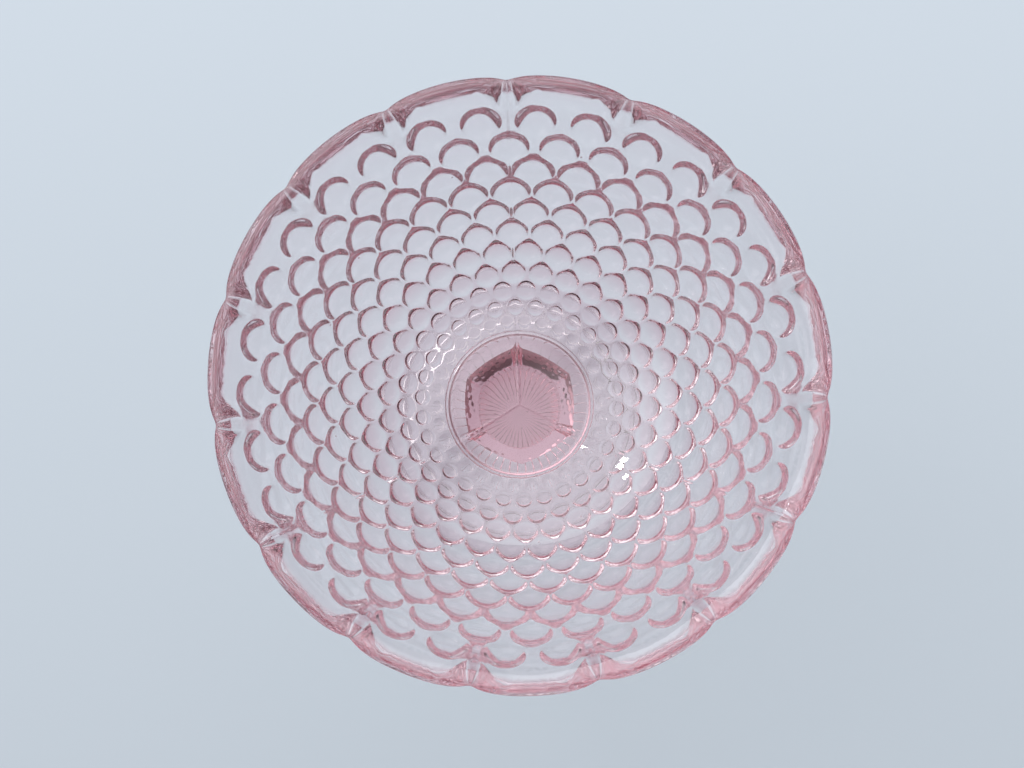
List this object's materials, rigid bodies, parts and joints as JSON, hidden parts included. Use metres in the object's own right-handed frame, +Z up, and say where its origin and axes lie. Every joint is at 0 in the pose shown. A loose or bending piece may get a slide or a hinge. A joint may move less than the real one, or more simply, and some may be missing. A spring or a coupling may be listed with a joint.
{
  "type": "candy dish",
  "caption": "Footed candy dish of pale pink pressed glass: a deep round bowl covered with rows of bumps under a scalloped petal rim, on a panelled stem and a rayed foot.",
  "frame": {"origin": "on the table, at the dish's axis under the middle of the foot", "axes": "+Z up along the axis through foot, stem and bowl; +Y towards one of the three mould seams"},
  "size_m": [0.1648, 0.1645, 0.1159],
  "materials": {
    "bowl_glass": "fire-polished, clear",
    "wafer_glass": "fire-polished, clear",
    "stem_glass": "fire-polished, clear",
    "foot_glass": "fire-polished, clear"
  },
  "bodies": {
    "root": {"bowl": "bowl_glass", "wafer": "wafer_glass", "stem": "stem_glass", "foot": "foot_glass"}
  },
  "joints": []
}
